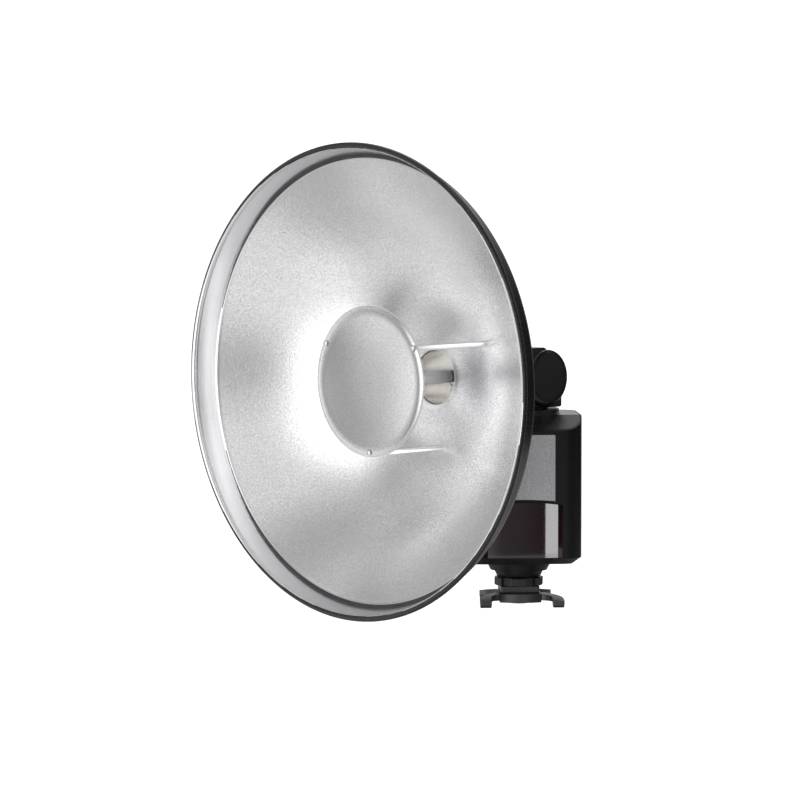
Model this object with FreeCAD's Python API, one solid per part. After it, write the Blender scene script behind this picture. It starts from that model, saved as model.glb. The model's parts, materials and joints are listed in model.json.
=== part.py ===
import FreeCAD, Part
import os, math
from FreeCAD import Vector as V, Placement, Rotation

# Bare-bulb camera flash with a 300 mm beauty dish on a mini stand.
# Millimetres, +Z up, the flash's front towards -Y.
# Origin: mouth of the mini stand's thread insert, on the resting plane.

# ---------------------------------------------------------------- driving dimensions
HEAD_YAW = 48.7          # head turned from straight ahead (-Y) towards -X, degrees
HINGE_Z = 147.5          # tilt hinge axis height
HEAD_RISE = 2.9          # lamp axis above the tilt hinge axis

BODY_W = 39.1            # half width of the flash body
BODY_FRONT = 32.0        # front face crest, distance from the foot axis
BODY_BACK = 31.0         # rear face distance
BODY_Z0 = 27.5
BODY_Z1 = 123.5
WALL = 2.2
FRONT_BOW_R = 230.0      # plan radius of the bowed front face
FRONT_CORNER_R = 12.0
BACK_CORNER_R = 10.0
BEVEL_Z = 113.6          # front top bevel starts here on the front face
BEVEL_RUN = 16.0
CHAMFER_X = 5.8
CHAMFER_Z = 4.2

DISH_R = 150.0           # outer radius of the rolled rim
RIM_T = 150.0            # bead centre, along the lamp axis from the swivel axis
BEAD_R = 2.0
DISH_T0 = 77.1           # inner surface at the lamp hole
HOLE_R = 17.25
SHELL = 1.0
DEFL_R = 47.8
DEFL_T = 136.3
ROD_PCR = 45.0
ROD_R = 1.9

CAP_R = 18.25            # tilt cheek radius
CHEEK_IN = 15.5
CHEEK_OUT = 25.0
DOME = 3.0
AXLE_R = 3.0
RUN = 0.05               # running clearance, radial

RING_Z0, RING_Z1 = 11.9, 17.0
RING_R = 16.1
STEM_R = 8.8
FOOT_Z0, FOOT_Z1 = 7.55, 9.55
FOOT_W, FOOT_L = 18.6, 18.0

# ---------------------------------------------------------------- helpers
def box(x0, x1, y0, y1, z0, z1):
    return Part.makeBox(x1 - x0, y1 - y0, z1 - z0, V(x0, y0, z0))

def cyl(x, y, z, r, h, d=V(0, 0, 1)):
    return Part.makeCylinder(r, h, V(x, y, z), d)

def cone(x, y, z, r0, r1, h, d=V(0, 0, 1)):
    return Part.makeCone(r0, r1, h, V(x, y, z), d)

def fuse(*s):
    r = s[0].fuse(list(s[1:])) if len(s) > 1 else s[0]
    return r.removeSplitter()

def comp(shapes):
    out = []
    for s in shapes:
        out += s.Solids
    return Part.makeCompound(out)

def one(s):
    return s.Solids[0] if len(s.Solids) == 1 else Part.makeCompound(s.Solids)

def big(s):
    return max(s.Solids, key=lambda q: q.Volume)

def prism(pts, z0, z1):
    w = Part.makePolygon([V(x, y, z0) for x, y in pts] + [V(pts[0][0], pts[0][1], z0)])
    return Part.Face(w).extrude(V(0, 0, z1 - z0))

def try_fillet(s, edges, r):
    try:
        f = s.makeFillet(r, edges)
        return f if f.isValid() and f.Volume > 0 else s
    except Exception:
        return s

def try_chamfer(s, edges, r):
    try:
        f = s.makeChamfer(r, edges)
        return f if f.isValid() and f.Volume > 0 else s
    except Exception:
        return s

def rbox(x0, x1, y0, y1, z0, z1, r, axis="z"):
    s = box(x0, x1, y0, y1, z0, z1)
    k = {"x": 0, "y": 1, "z": 2}[axis]
    es = []
    for e in s.Edges:
        d = e.Vertexes[1].Point - e.Vertexes[0].Point
        if abs([d.x, d.y, d.z][k]) > 1e-6:
            es.append(e)
    return s.makeFillet(r, es)

HEAD = Placement(V(0, 0, 0), Rotation(V(0, 0, 1), -HEAD_YAW))

def to_head(s):
    c = s.copy()
    c.Placement = HEAD.multiply(c.Placement)
    return c

LA = HINGE_Z + HEAD_RISE     # lamp axis height

def rev_head(pts, spline_runs=None):
    """Revolve a closed (r, t) outline about the lamp axis of the unturned head."""
    edges = []
    P = [V(r, -t, LA) for r, t in pts]
    n = len(P)
    for i in range(n):
        a, b = P[i], P[(i + 1) % n]
        if (a - b).Length > 1e-6:
            edges.append(Part.LineSegment(a, b).toShape())
    f = Part.Face(Part.Wire(edges))
    return f.revolve(V(0, 0, LA), V(0, 1, 0), 360)

def hcyl(t, r, h, s=0.0, z=None):
    """Cylinder along the lamp axis of the unturned head, from t forward by h."""
    return Part.makeCylinder(r, h, V(s, -t, LA if z is None else z), V(0, -1, 0))

def scyl(s0, s1, r, t=0.0, z=None):
    """Cylinder along the hinge axis."""
    return Part.makeCylinder(r, s1 - s0, V(s0, -t, HINGE_Z if z is None else z), V(1, 0, 0))

parts = {}

# ================================================================ mini stand
def stand():
    hub = box(-13.4, 13.4, -26, 26, 1.8, 8.2).common(fuse(
        cyl(0, 8.0, 0, 28.0, 12).common(box(-20, 20, -26, 0.01, 0, 12)),
        cyl(0, -8.0, 0, 28.0, 12).common(box(-20, 20, 0, 26, 0, 12))))
    legs = []
    for sx in (1, -1):
        for sy, ox in ((1, 27.2), (-1, 23.3)):
            w = 7.4
            xc = ox - w / 2.0
            rad = 12.0
            cx, cy = xc - rad, -24.0
            ann = cyl(cx, cy, 0, rad + w / 2, 12).cut(cyl(cx, cy, 0, rad - w / 2, 12))
            arc = ann.common(box(cx, cx + 40, cy, cy + 40, 3.0, 10))
            bar = box(4.0, cx + 0.05, cy + rad - w / 2, cy + rad + w / 2, 3.0, 10) if cx > 4.0 else None
            foot = rbox(xc - w / 2, xc + w / 2, -31.0, cy + 0.05, 1.3, 10, 0.8)
            leg = [arc, foot] + ([bar] if bar else [])
            leg = fuse(*leg)
            m = FreeCAD.Matrix()
            m.scale(sx, sy, 1)
            legs.append(leg.transformGeometry(m))
    base = fuse(hub, *legs)
    # the upper face falls away towards the feet
    R = 215.0
    base = base.common(Part.makeSphere(R, V(0, 0, 8.25 - R)))
    base = fuse(base, cyl(0, 0, 0, 6.8, 4))
    block = rbox(-12.6, 12.6, -13.0, 13.0, 8.0, 11.6, 1.2)
    base = fuse(base, block)
    # cold shoe: tee slot open towards +Y, with the lock pin's groove
    base = base.cut(box(-9.45, 9.45, -9.7, 32, 7.3, 9.7))
    base = base.cut(box(-6.4, 6.4, -9.7, 32, 9.6, 12))
    base = base.cut(box(-1.7, 1.7, -8.2, 32, 6.1, 7.4))
    base = base.cut(cyl(0, 0, -0.1, 4.4, 5.9))
    return big(base)

parts["mini_stand"] = stand()
ins = cyl(0, 0, 0, 4.4, 5.8).cut(cyl(0, 0, -0.1, 2.55, 5.4))
parts["thread_insert"] = ins
pads = []
for sx in (1, -1):
    for sy, ox in ((1, 27.2), (-1, 23.3)):
        y = -27.4 * sy
        pads.append(rbox(sx * (ox - 3.7) - 3.5, sx * (ox - 3.7) + 3.5, y - 3.3, y + 3.3, 0, 1.3, 0.8))
parts["stand_foot_pads"] = comp(pads)

# ================================================================ hot-shoe foot, lock ring
plate = rbox(-FOOT_W / 2, FOOT_W / 2, -9.5, -9.5 + FOOT_L, FOOT_Z0, FOOT_Z1, 0.6)
neck = box(-6.2, 6.2, -8.7, 8.3, FOOT_Z1 - 0.1, 11.8)
stem = cyl(0, 0, 11.7, STEM_R, 27.5 - 11.7)
foot = fuse(plate, neck, stem)
PIN_Y = -6.4
foot = foot.cut(cyl(0, PIN_Y, 7, 1.05, 12.5))
pins_xy = [(0, 0.6, 1.3), (3.7, -2.6, 0.75), (-3.7, -2.6, 0.75), (3.7, 3.8, 0.75), (-3.7, 3.8, 0.75)]
for x, y, r in pins_xy:
    foot = foot.cut(cyl(x, y, 7.0, r, 1.6))
parts["shoe_foot"] = foot
parts["contact_pins"] = comp([cyl(x, y, 7.42, r, 1.18) for x, y, r in pins_xy])
parts["lock_pin"] = fuse(cyl(0, PIN_Y, 6.75, 0.98, 10.0), cyl(0, PIN_Y, 6.55, 0.7, 0.3))

ring = cyl(0, 0, RING_Z0, 14.6, RING_Z1 - RING_Z0)
pad_solids = []
for a in (-96, -36, 24, 84, 144, 204):
    seg = cyl(0, 0, RING_Z0, RING_R, RING_Z1 - RING_Z0)
    wedge = prism([(0, 0)] + [(40 * math.cos(math.radians(a + d)), 40 * math.sin(math.radians(a + d))) for d in (-17, 0, 17)], RING_Z0, RING_Z1)
    seg = seg.common(wedge)
    for k in range(-4, 5):
        b = math.radians(a + k * 3.6 + 1.8)
        seg = seg.cut(cyl(RING_R * math.cos(b) * 1.012, RING_R * math.sin(b) * 1.012, RING_Z0 - 1, 0.42, 8))
    pad_solids.append(seg)
ring = fuse(ring, *pad_solids)
ring = ring.cut(cyl(0, 0, RING_Z0 - 1, STEM_R + RUN, 10))
# the rim's lower and upper corners are eased
keep = Part.makeCone(15.3, 17.3, 1.4, V(0, 0, RING_Z0)).fuse(
    [cyl(0, 0, RING_Z0 + 1.4, 18, 3.0), Part.makeCone(17.3, 15.9, 0.75, V(0, 0, RING_Z1 - 0.75))])
ring = ring.common(keep)
parts["lock_ring"] = big(ring)

# two-tier collar under the body
c1 = cone(0, 0, 17.3, 13.9, 16.2, 4.6)
c2 = cone(0, 0, 21.9, 18.5, 21.2, 5.6)
collar = fuse(c1, c2).cut(cyl(0, 0, 17, STEM_R + 0.02, 11))
parts["foot_collar"] = collar

# ================================================================ flash body
def plan_wire(i, z):
    """Plan outline of the body moved in by i."""
    c_side = BODY_W - FRONT_CORNER_R
    cyf = BODY_FRONT * -1 + FRONT_BOW_R
    d = FRONT_BOW_R - FRONT_CORNER_R
    cyc = cyf - math.sqrt(d * d - c_side * c_side)
    ux, uy = c_side / d, (cyc - cyf) / d
    R = FRONT_BOW_R - i
    rc = FRONT_CORNER_R - i
    rb = BACK_CORNER_R - i
    def P(x, y):
        return V(x, y, z)
    pr = P(ux * R, cyf + uy * R)
    pl = P(-ux * R, cyf + uy * R)
    am = math.atan2(uy, ux) / 2.0
    e = []
    xr = BODY_W - i
    yb = BODY_BACK - i
    bx, by = BODY_W - BACK_CORNER_R, BODY_BACK - BACK_CORNER_R
    e.append(Part.LineSegment(P(xr, by), P(xr, cyc)).toShape())
    e.append(Part.Arc(P(xr, cyc), P(c_side + rc * math.cos(am), cyc + rc * math.sin(am)), pr).toShape())
    e.append(Part.Arc(pr, P(0, cyf - R), pl).toShape())
    e.append(Part.Arc(pl, P(-c_side - rc * math.cos(am), cyc + rc * math.sin(am)), P(-xr, cyc)).toShape())
    e.append(Part.LineSegment(P(-xr, cyc), P(-xr, by)).toShape())
    q = math.sqrt(0.5)
    e.append(Part.Arc(P(-xr, by), P(-bx - rb * q, by + rb * q), P(-bx, yb)).toShape())
    e.append(Part.LineSegment(P(-bx, yb), P(bx, yb)).toShape())
    e.append(Part.Arc(P(bx, yb), P(bx + rb * q, by + rb * q), P(xr, by)).toShape())
    return Part.Wire(e)

def plan_prism(i, z0, z1):
    return Part.Face(plan_wire(i, z0)).extrude(V(0, 0, z1 - z0))

BODY_BOTTOM_IN = CHAMFER_X
def body_solid(i):
    """Body outline moved in by i on every side."""
    low = Part.makeLoft([plan_wire(CHAMFER_X + i * 0.6, BODY_Z0 + i), plan_wire(i, BODY_Z0 + CHAMFER_Z + i * 0.5)], True)
    s = low.fuse(plan_prism(i, BODY_Z0 + CHAMFER_Z + i * 0.5, BODY_Z1 - i)).removeSplitter()
    # front top bevel
    slope = (BODY_Z1 - BEVEL_Z) / BEVEL_RUN
    off = i * math.sqrt(1 + slope * slope)
    y0 = -BODY_FRONT - 5
    z_at = lambda y: BEVEL_Z + (y + BODY_FRONT) * slope - off
    pts = [V(-60, y0, z_at(y0)), V(-60, 0, z_at(0)), V(-60, 0, 160), V(-60, y0, 160)]
    w = Part.Face(Part.makePolygon(pts + [pts[0]])).extrude(V(120, 0, 0))
    return s.cut(w)

OUT = body_solid(0.0)
top_edges = []
for e in OUT.Edges:
    bb = e.BoundBox
    if bb.ZMin > BODY_Z1 - 0.01 and bb.ZLength < 0.01 and not (bb.YLength < 0.01 and bb.YMax < 0):
        top_edges.append(e)
OUT = try_fillet(OUT, top_edges, 2.6)
INN = body_solid(WALL)
shell = OUT.cut(INN)

slope = (BODY_Z1 - BEVEL_Z) / BEVEL_RUN
def above_bevel(i):
    off = i * math.sqrt(1 + slope * slope)
    y0 = -BODY_FRONT - 5
    z_at = lambda y: BEVEL_Z + (y + BODY_FRONT) * slope - off
    zt = BODY_Z1 - i
    yk = (zt + off - BEVEL_Z) / slope - BODY_FRONT
    pts = [V(-60, y0, z_at(y0)), V(-60, yk, zt), V(-60, 60, zt), V(-60, 60, 160), V(-60, y0, 160)]
    return Part.Face(Part.makePolygon(pts + [pts[0]])).extrude(V(120, 0, 0))

lid_zone = plan_prism(1.3, 90, 130).common(above_bevel(2.3))
lid_gap = plan_prism(1.2, 90, 130).common(above_bevel(2.3))
walls = shell.cut(lid_gap)
lid = OUT.cut(INN).common(lid_zone)
# round turret that carries the swivel plate
walls = walls.cut(cyl(0, 0, 105, 27.4, 30).common(plan_prism(1.2, 90, 130)))
lid = fuse(lid, cyl(0, 0, 110, 27.2, BODY_Z1 - 110).cut(INN).common(plan_prism(1.3, 90, 130)))
lid = lid.cut(cyl(0, 0, 100, 8.6, 40))
parts["top_cap"] = big(lid)

SEAM_Y = 3.0
front = walls.common(box(-60, 60, -60, SEAM_Y, 0, 140))
rear = walls.common(box(-60, 60, SEAM_Y, 60, 0, 140))
parts["_front"] = front
parts["_rear"] = rear

# ---- front: badge panel and infrared window
BX = 20.85
def arch_box(hx, z0m, z0s, z1m, z1s, y0, y1):
    """Panel blank with gently arched lower and upper edges."""
    e = [Part.Arc(V(-hx, y0, z0s), V(0, y0, z0m), V(hx, y0, z0s)).toShape() if abs(z0m - z0s) > 1e-6 else Part.LineSegment(V(-hx, y0, z0s), V(hx, y0, z0s)).toShape(),
         Part.LineSegment(V(hx, y0, z0s), V(hx, y0, z1s)).toShape(),
         Part.Arc(V(hx, y0, z1s), V(0, y0, z1m), V(-hx, y0, z1s)).toShape() if abs(z1m - z1s) > 1e-6 else Part.LineSegment(V(hx, y0, z1s), V(-hx, y0, z1s)).toShape(),
         Part.LineSegment(V(-hx, y0, z1s), V(-hx, y0, z0s)).toShape()]
    return Part.Face(Part.Wire(e)).extrude(V(0, y1 - y0, 0))

badge_blank = arch_box(BX, 69.9, 68.9, 111.6, 111.6, -40, -20)
skin = plan_prism(-0.25, 30, 125).cut(plan_prism(0.9, 29, 126))
parts["badge_panel"] = big(skin.common(badge_blank))
badge_pocket = arch_box(BX + 0.1, 69.8, 68.8, 111.7, 111.7, -40, -20).common(plan_prism(-0.25, 30, 125).cut(plan_prism(0.9, 29, 126)))

WX0, WX1 = 25.6, 22.6
def window_plan(i):
    cyf = -BODY_FRONT + FRONT_BOW_R
    yb = lambda x, o: cyf - math.sqrt((FRONT_BOW_R + o) ** 2 - x * x)
    a = V(-WX0 + i, yb(WX0, 0.0) + i, 30)
    b = V(-WX1 + i, yb(WX1, 1.1) + i, 30)
    m = V(0, yb(0, 1.1) + i, 30)
    c = V(WX1 - i, b.y, 30)
    d = V(WX0 - i, a.y, 30)
    yi = yb(0, -WALL - 0.2)
    w = [Part.LineSegment(a, b).toShape(), Part.Arc(b, m, c).toShape(), Part.LineSegment(c, d).toShape(),
         Part.LineSegment(d, V(WX0 - i, yi, 30)).toShape(), Part.LineSegment(V(WX0 - i, yi, 30), V(-WX0 + i, yi, 30)).toShape(),
         Part.LineSegment(V(-WX0 + i, yi, 30), a).toShape()]
    return Part.Face(Part.Wire(w)).extrude(V(0, 0, 50))
win = window_plan(0).common(arch_box(WX0, 32.4, 32.4, 68.2, 66.2, -45, -15))
hollow = window_plan(1.5).translated(V(0, 3.0, 0)).common(box(-60, 60, -45, 0, 34.2, 64.8))
win = win.cut(hollow)
parts["af_window"] = big(win)
win_pocket = box(-WX0 - 0.1, WX0 + 0.1, -45, -15, 32.3, 66.3).fuse(arch_box(WX0 + 0.1, 60, 60, 68.3, 66.3, -45, -15))
front = parts.pop("_front").cut(badge_pocket).cut(win_pocket)

# assist lamp behind the window
parts["af_lamp"] = comp([fuse(box(-16, 16, -27.2, -25.4, 38, 62), hc) for hc in
                         [fuse(cyl(-8, -27.1, 55, 3.2, 1.6, V(0, -1, 0)), cyl(8, -27.1, 55, 3.2, 1.6, V(0, -1, 0)), box(-9, 9, -28.0, -27.1, 41, 48))]])

# ---- rear face controls
YB = BODY_BACK
rear = parts.pop("_rear")
LCD = (24.0, 80.0, 113.0)
rear = rear.cut(rbox(-LCD[0], LCD[0], YB - 1.3, YB + 1, LCD[1], LCD[2], 2.0, "y"))
rear = rear.cut(box(-20.5, 20.5, YB - 4, YB, LCD[1] + 4, LCD[2] - 4))
parts["lcd_window"] = rbox(-LCD[0] + 0.08, LCD[0] - 0.08, YB - 1.3, YB - 0.1, LCD[1] + 0.08, LCD[2] - 0.08, 1.9, "y")
parts["lcd_module"] = box(-22, 22, YB - 6.2, YB - 2.35, LCD[1] + 1.5, LCD[2] - 1.5)

def key_rect(x, z, w, h, name, r=1.2, proud=0.9):
    global rear
    c = 0.18
    rear = rear.cut(rbox(x - w / 2 - c, x + w / 2 + c, YB - 3, YB + 1, z - h / 2 - c, z + h / 2 + c, r + c, "y"))
    cap = rbox(x - w / 2, x + w / 2, YB - 2.6, YB + proud, z - h / 2, z + h / 2, r, "y")
    outer = [e for e in cap.Edges if e.BoundBox.YMin > YB + proud - 0.01]
    cap = try_fillet(cap, outer, 0.35)
    fl = box(x - w / 2 - 0.8, x + w / 2 + 0.8, YB - 4.1, YB - 3.4, z - h / 2 - 0.8, z + h / 2 + 0.8)
    st = box(x - w / 2 + 0.6, x + w / 2 - 0.6, YB - 3.5, YB - 2.5, z - h / 2 + 0.6, z + h / 2 - 0.6)
    parts[name] = fuse(cap, fl, st)

def key_round(x, z, rad, name, proud=0.9):
    global rear
    c = 0.15
    d = V(0, 1, 0)
    rear = rear.cut(cyl(x, YB - 3, z, rad + c, 4, d))
    cap = cyl(x, YB - 3.5, z, rad, 3.5 + proud, d)
    outer = [e for e in cap.Edges if e.BoundBox.YMin > YB + proud - 0.01]
    cap = try_fillet(cap, outer, 0.4)
    parts[name] = fuse(cap, cyl(x, YB - 4.1, z, rad + 0.8, 0.7, d))

for k, x in enumerate((-18.6, -6.2, 6.2, 18.6)):
    key_rect(x, 73.6, 9.4, 5.0, "menu_key_%d" % (k + 1))
key_round(-26.5, 57.5, 3.6, "mode_key")
key_round(26.5, 57.5, 3.6, "test_key")
key_round(-26.5, 43.5, 3.6, "sync_key")

# dial with its centre key
DZ = 50.5
yd = V(0, 1, 0)
rear = rear.cut(cyl(0, YB - 3, DZ, 5.0 + RUN, 4, yd))
rear = rear.cut(cyl(0, YB - 0.9, DZ, 16.3, 2, yd))
dial = cyl(0, YB - 0.6, DZ, 15.6, 3.0, yd)
notches = [cyl(15.9 * math.cos(k * math.pi / 18), YB - 1, DZ + 15.9 * math.sin(k * math.pi / 18), 0.75, 5, yd) for k in range(36)]
dial = dial.cut(notches)
dial = dial.cut(cyl(0, YB + 1.4, DZ, 12.4, 2, yd)).fuse([cyl(0, YB + 1.3, DZ, 7.4, 1.1, yd)])
dial = dial.fuse([cyl(0, YB - 3.6, DZ, 5.0, 3.2, yd), cyl(0, YB - 4.3, DZ, 6.2, 0.8, yd)]).cut(cyl(0, YB - 6, DZ, 3.95, 12, yd)).removeSplitter()
dial = dial.cut(cyl(0, YB + 0.9, DZ, 6.1, 3, yd))
parts["control_dial"] = big(dial)
setk = fuse(cyl(0, YB - 5.2, DZ, 3.8, 8.0, yd), cyl(0, YB + 2.4, DZ, 5.8, 1.1, yd), cyl(0, YB - 5.7, DZ, 5.0, 0.7, yd))
setk = try_fillet(setk, [e for e in setk.Edges if e.BoundBox.YMin > YB + 3.49], 0.5)
parts["set_key"] = setk

# power slide
rear = rear.cut(rbox(20.9, 32.1, YB - 1.2, YB + 1, 40.6, 46.4, 1.2, "y"))
rear = rear.cut(box(22.4, 30.6, YB - 3.0, YB, 42.2, 44.8))
sw = rbox(21.2, 27.4, YB - 1.0, YB + 0.7, 40.9, 46.1, 1.0, "y")
for k in range(4):
    sw = sw.cut(box(22.4 + k * 1.3, 22.95 + k * 1.3, YB + 0.3, YB + 2, 40, 47))
sw = fuse(sw, box(22.8, 25.8, YB - 4.0, YB - 0.9, 42.4, 44.6), box(22.0, 26.6, YB - 4.2, YB - 2.5, 41.4, 45.6))
parts["power_slide"] = big(sw)

# case screws through the rear shell into posts on the front shell
scr = []
POST_ZONE = body_solid(WALL + 0.1)
for x in (-31.2, 31.2):
    for z in (36.0, 104.0):
        rear = rear.cut(cyl(x, YB - 3, z, 2.4, 1.5, yd)).cut(cyl(x, YB - 3, z, 2.5, 4, yd).common(box(-60, 60, YB - 0.9, YB + 5, 0, 140)))
        post = cyl(x, -6, z, 3.1, YB - WALL + 6, yd)
        hole = cyl(x, -4, z, 1.05, 60, yd)
        head = cyl(x, YB - 1.5, z, 2.3, 1.2, yd).cut(box(x - 1.6, x + 1.6, YB - 0.9, YB + 1, z - 0.3, z + 0.3)).cut(box(x - 0.3, x + 0.3, YB - 0.9, YB + 1, z - 1.6, z + 1.6))
        rear = rear.cut(cyl(x, YB - 1.5, z, 2.35, 4, yd)).cut(cyl(x, YB - 4, z, 1.05, 4, yd))
        front = fuse(front, post.cut(hole).common(box(-60, 60, -30, SEAM_Y - 0.0, 0, 140)).fuse([post.cut(hole).common(box(-60, 60, SEAM_Y - 0.01, YB - WALL - 0.02, 0, 140)).common(POST_ZONE)]))
        scr.append(fuse(head, cyl(x, 2.0, z, 1.0, YB - 1.4 - 2.0, yd)))
        # a rib joins the post to the front shell's side wall
        sgn = 1 if x > 0 else -1
        rib = box(min(x, sgn * 37.2), max(x, sgn * 37.2), -6, SEAM_Y - 0.2, z - 1.0, z + 1.0).cut(cyl(x, -10, z, 2.0, 60, yd))
        front = fuse(front, rib)
parts["case_screws"] = comp(scr)

# ---- side ports
XR = BODY_W
rear_sock = cyl(-XR - 1, 14, 74, 7.0, 6, V(1, 0, 0))
rear = rear.cut(rear_sock)
sock = cyl(-XR + 0.3, 14, 74, 6.95, 3.2, V(1, 0, 0)).cut(cyl(-XR - 1, 14, 74, 5.6, 4.4, V(1, 0, 0)))
sock = fuse(sock, cyl(-XR + 2.5, 14, 74, 8.2, 5.2, V(1, 0, 0)).cut(cyl(-XR - 1, 14, 74, 5.6, 6.4, V(1, 0, 0))))
pinset = [(0, 0), (2.6, 0), (-2.6, 0), (0, 2.6), (0, -2.6)]
sock = sock.fuse([cyl(-XR + 1.2, 14 + dy, 74 + dz, 0.7, 5.2, V(1, 0, 0)) for dy, dz in pinset]).removeSplitter()
parts["power_socket"] = big(sock)

# right side: sync jack and usb socket under a rubber flap
PY0, PY1, PZ0, PZ1 = 8.0, 20.0, 46.0, 74.0
rear = rear.cut(rbox(XR - 1.6, XR + 1, PY0 - 0.25, PY1 + 0.25, PZ0 - 0.25, PZ1 + 0.25, 2.2, "x"))
rear = rear.cut(cyl(XR - 4, 14, 86, 3.55, 6, V(1, 0, 0)))
rear = rear.cut(rbox(XR - 4, XR + 1, 9.8, 16.2, 53.4, 66.6, 0.8, "x"))
# the flap hinges on a pin along its rear edge
flap = rbox(XR - 1.3, XR + 0.25, PY0, PY1 - 1.9, PZ0, PZ1, 1.8, "x")
knuckle = cyl(XR - 0.55, PY1 - 1.3, PZ0 + 6.2, 1.15, PZ1 - PZ0 - 12.4)
flap = fuse(flap, knuckle, box(XR - 1.3, XR + 0.1, PY1 - 3.0, PY1 - 1.3, PZ0 + 6.2, PZ1 - 6.2).common(box(0, 60, 0, 60, 0, 200)))
flap = flap.cut(cyl(XR - 0.55, PY1 - 1.3, 40, 0.5 + RUN, 60))
for z0, z1 in ((PZ0 - 1, PZ0 + 6.2), (PZ1 - 6.2, PZ1 + 1)):
    flap = flap.cut(cyl(XR - 0.55, PY1 - 1.3, z0, 1.5, z1 - z0))
flap = flap.fuse([box(XR + 0.15, XR + 0.75, PY0 + 0.8, PY0 + 1.8, PZ0 + 12, PZ1 - 12)]).removeSplitter()
parts["port_flap"] = big(flap)
rear = rear.cut(cyl(XR - 0.55, PY1 - 1.3, PZ0 + 5.9, 1.5, PZ1 - PZ0 - 11.8))
rear = rear.fuse([cyl(XR - 0.55, PY1 - 1.3, PZ0 - 0.3, 1.1, 6.2), cyl(XR - 0.55, PY1 - 1.3, PZ1 - 5.9, 1.1, 6.2)])
rear = rear.fuse([cyl(XR - 0.55, PY1 - 1.3, PZ0 + 1.5, 0.5, PZ1 - PZ0 - 3.0)])
jack = fuse(cyl(XR - 16, 14, 86, 4.6, 13.6, V(1, 0, 0)), cyl(XR - 3, 14, 86, 3.5, 3.3, V(1, 0, 0)))
jack = jack.cut(cyl(XR - 15, 14, 86, 1.78, 16, V(1, 0, 0)))
parts["sync_jack"] = jack
usb = box(XR - 10, XR - 2.0, 10.0, 16.0, 53.6, 66.4).cut(box(XR - 9, XR, 10.5, 15.5, 54.1, 65.9)).fuse([box(XR - 10, XR - 3.5, 11.2, 12.9, 54.8, 65.2)])
parts["usb_socket"] = usb.removeSplitter()

parts["front_shell"] = None
parts["rear_shell"] = None

# ---- inside the body
parts["main_capacitor"] = comp([cyl(-15.0, -8.6, 40.5, 14.6, 57), cyl(15.0, -8.6, 40.5, 14.6, 57)])
parts["main_board"] = box(-27.5, 27.5, 7.2, 8.8, 34, 106).cut(box(-40, -22, 0, 20, 96, 110))
parts["control_board"] = box(-34, 32.0, YB - 8.2, YB - 6.6, 34, 113).cut(cyl(-31.2, 15, 36, 3.4, 20, yd)).cut(cyl(31.2, 15, 36, 3.4, 20, yd)).cut(cyl(-31.2, 15, 104, 3.4, 20, yd)).cut(cyl(31.2, 15, 104, 3.4, 20, yd)).cut(box(-36, -28, 10, 30, 64, 84)).cut(box(22, 36, 10, 30, 56, 84))
parts["charge_transformer"] = fuse(box(-14, 14, 8.85, 17.5, 86, 106), box(-10, 10, 8.85, 19.5, 89, 103))

# ================================================================ swivel
plate = fuse(cone(0, 0, BODY_Z1, 27.0, 26.1, 1.2), cyl(0, 0, BODY_Z1 + 1.2, 26.1, 2.2))
plate = try_fillet(plate, [e for e in plate.Edges if e.BoundBox.ZMin > BODY_Z1 + 3.39 and e.BoundBox.ZLength < 0.01], 0.6)
plate = plate.cut(cyl(0, 0, 120, 8.0 + RUN, 10))
sc = []
for a in (35, 125, 215, 305):
    x, y = 21 * math.cos(math.radians(a)), 21 * math.sin(math.radians(a))
    plate = plate.cut(cyl(x, y, BODY_Z1 + 1.7, 2.1, 4)).cut(cyl(x, y, 120, 1.0, 8))
    lid2 = parts["top_cap"]
    parts["top_cap"] = lid2.cut(cyl(x, y, 115, 1.0, 10))
    h = cyl(x, y, BODY_Z1 + 1.7, 2.0, 1.5).cut(box(x - 1.3, x + 1.3, y - 0.25, y + 0.25, BODY_Z1 + 2.5, 130)).cut(box(x - 0.25, x + 0.25, y - 1.3, y + 1.3, BODY_Z1 + 2.5, 130))
    sc.append(fuse(h, cyl(x, y, BODY_Z1 - 2.0, 0.98, 3.8)))
parts["swivel_plate"] = big(plate)
parts["swivel_screws"] = comp(sc)

# turning group, drawn for a head that looks along -Y and then turned
ZB = 128.0
s0, b0 = 21.5, 18.6
blk = rbox(-s0, s0, -b0, b0, ZB, ZB + 3.2, 2.0)
bot = [e for e in blk.Edges if e.BoundBox.ZMax < ZB + 0.01]
blk = try_chamfer(blk, bot, 0.8)
back_wall = rbox(-s0, s0, 9.0, b0, ZB + 0.8, ZB + 9.6, 2.0)
tongue = scyl(-15.2, 15.2, 17.6).fuse([box(-15.2, 15.2, -15.5, 15.5, ZB + 1, HINGE_Z)])
neckb = cyl(0, 0, BODY_Z1 + 3.65, 19.0, 0.9)
blk = fuse(blk, back_wall, tongue, neckb)
for sgn in (1, -1):
    a, b = (15.2, 40) if sgn > 0 else (-40, -15.2)
    blk = blk.cut(scyl(a, b, CAP_R + 0.4))
blk = blk.cut(scyl(-16, 16, AXLE_R))
blk = blk.cut(cyl(0, 0, 120, 8.0, 16.5))
# pocket for the tilt detent
blk = blk.cut(cyl(0, -6, HINGE_Z - 18, 2.2, 9))
blk = blk.cut(scyl(8.0, 15.3, 2.3, t=0, z=HINGE_Z - 11.0))
parts["hinge_block"] = to_head(big(blk))
spig = cyl(0, 0, 116.6, 8.0, 19.7).cut(cyl(0, 0, 116, 5.2, 21))
spig = fuse(spig, cyl(0, 0, 116.2, 10.8, 1.6).cut(cyl(0, 0, 116, 5.2, 3)))
parts["swivel_spigot"] = to_head(spig)
parts["tilt_axle"] = to_head(scyl(-22.0, 22.0, AXLE_R))
parts["detent_plunger"] = to_head(fuse(scyl(8.1, 13.2, 2.2, z=HINGE_Z - 11.0), Part.makeSphere(2.0, V(13.2, 0, HINGE_Z - 11.0))))

# ================================================================ head
def lathe(pts):
    return rev_head(pts)

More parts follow.
